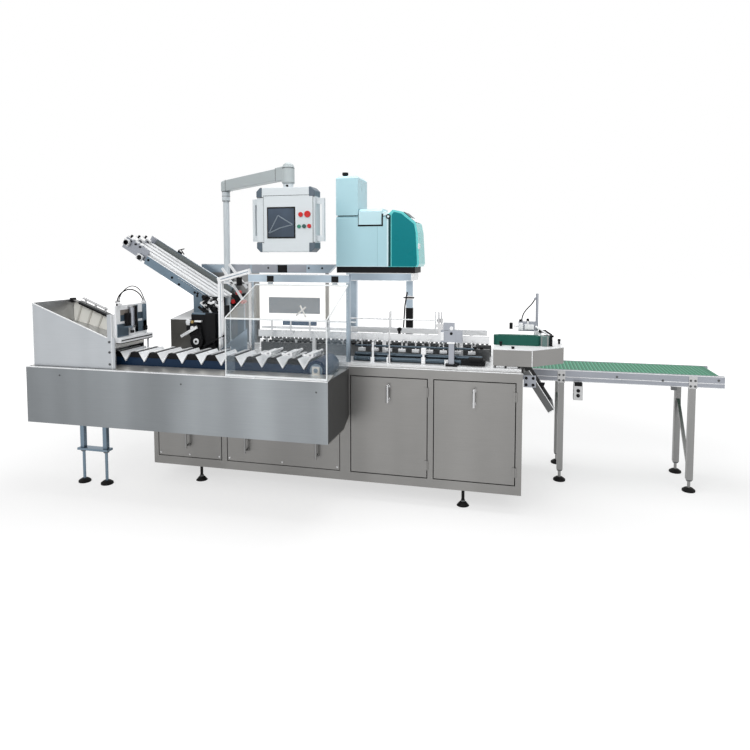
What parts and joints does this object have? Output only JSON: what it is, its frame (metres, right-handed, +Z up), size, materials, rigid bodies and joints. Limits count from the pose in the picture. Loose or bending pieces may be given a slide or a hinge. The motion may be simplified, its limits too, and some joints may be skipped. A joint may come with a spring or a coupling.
{
  "type": "bag packaging machine",
  "caption": "horizontal cartoning machine: bag hopper and bucket conveyor, inclined carton magazine, clear guard, glue unit, swinging operator panel and belt outfeed on a stainless cabinet",
  "frame": {"origin": "on the floor, under the middle of the machine's footprint", "axes": "+X along the machine from the hopper to the outfeed, +Y from the operator's side to the rear, +Z up"},
  "size_m": [4.473, 1.5219, 2.2135],
  "materials": {
    "stainless": "brushed",
    "dark_stainless": "brushed",
    "aluminium": "anodised satin",
    "painted_white": "satin",
    "glue_blue": "satin",
    "glue_teal": "gloss",
    "black_plastic": "matte",
    "black_rubber": "matte",
    "clear_guard": "clear",
    "belt_green": "ribbed matte",
    "belt_navy": "satin",
    "press_green": "matte",
    "chrome": "polished"
  },
  "bodies": {
    "machine": {"cabinet_plinth": "stainless", "cabinet_bed": "stainless", "cabinet_left_housing": "stainless", "service_panels": "stainless", "cabinet_walls": "stainless", "bed_plate": "stainless", "cabinet_feet": "black_rubber", "trough_front_panel": "stainless", "trough_ends": "stainless", "trough_plates": "stainless", "trough_stand": "dark_stainless", "bucket_belt": "belt_navy", "belt_pads": "belt_navy", "bag_buckets": "stainless", "hopper_front_panel": "stainless", "hopper_rear_panel": "stainless", "hopper_left_wall": "stainless", "hopper_floor": "stainless", "pick_frame": "painted_white", "pick_cylinder": "aluminium", "magazine_drive_housing": "stainless", "magazine_sides": "stainless", "magazine_rails": "chrome", "magazine_head": "aluminium", "opener_drive": "stainless", "opener_post": "aluminium", "guard_frame": "stainless", "guard_sides": "clear_guard", "rear_duct": "stainless", "rear_supports": "stainless", "arm_post": "painted_white", "glue_stand": "stainless", "glue_base": "black_plastic", "glue_tank": "glue_blue", "glue_cover": "glue_teal", "guide_beam": "aluminium", "chain_beds": "dark_stainless", "chain_lugs": "stainless", "flap_tubes": "chrome", "closing_housing": "stainless", "press_belt": "press_green", "sensor_masts": "chrome", "reject_chute": "stainless", "outfeed_rails": "aluminium", "outfeed_belt": "belt_green", "outfeed_frames": "aluminium", "outfeed_switch": "black_plastic", "carton_top_guide": "chrome", "pick_hose_lower": "black_rubber", "pick_hose_upper": "black_rubber", "mast_hose": "black_rubber"},
    "guard_lid": {"guard_lid_top": "clear_guard", "guard_lid_front": "clear_guard"},
    "swing_arm": {"panel_arm": "painted_white"},
    "operator_panel": {"operator_panel": "painted_white"},
    "left_door": {"door_left": "stainless"},
    "right_door": {"door_right": "stainless"},
    "tank_lid": {"glue_tank_lid": "glue_blue"},
    "opener_rotor": {"vacuum_rotor": "black_plastic"}
  },
  "joints": [
    {"name": "guard_lid_hinge", "type": "hinge", "parent": "machine", "child": "guard_lid", "pos_m": [-0.4775, -0.302, 1.408], "axis": [-1, 0, 0], "range_deg": [0, 48]},
    {"name": "arm_swing", "type": "hinge", "parent": "machine", "child": "swing_arm", "pos_m": [-1.3675, 0.376, 2.1425], "axis": [0, 0, 1], "range_deg": [-60, 0]},
    {"name": "panel_swivel", "type": "hinge", "parent": "swing_arm", "child": "operator_panel", "pos_m": [-0.60385, -0.20575, 2.0715], "axis": [0, 0, 1], "range_deg": [-60, 60]},
    {"name": "left_door_hinge", "type": "hinge", "parent": "machine", "child": "left_door", "pos_m": [0.3645, -0.3293, 0.5015], "axis": [0, 0, 1], "range_deg": [0, 90]},
    {"name": "right_door_hinge", "type": "hinge", "parent": "machine", "child": "right_door", "pos_m": [0.9055, -0.3293, 0.5015], "axis": [0, 0, 1], "range_deg": [0, 110]},
    {"name": "tank_lid_hinge", "type": "hinge", "parent": "machine", "child": "tank_lid", "pos_m": [-0.124, 0.3315, 1.8793], "axis": [-1, 0, 0], "range_deg": [0, 55]},
    {"name": "opener_spin", "type": "hinge", "parent": "machine", "child": "opener_rotor", "pos_m": [-1.0425, -0.074, 1.285], "axis": [0, 1, 0], "continuous": true}
  ]
}
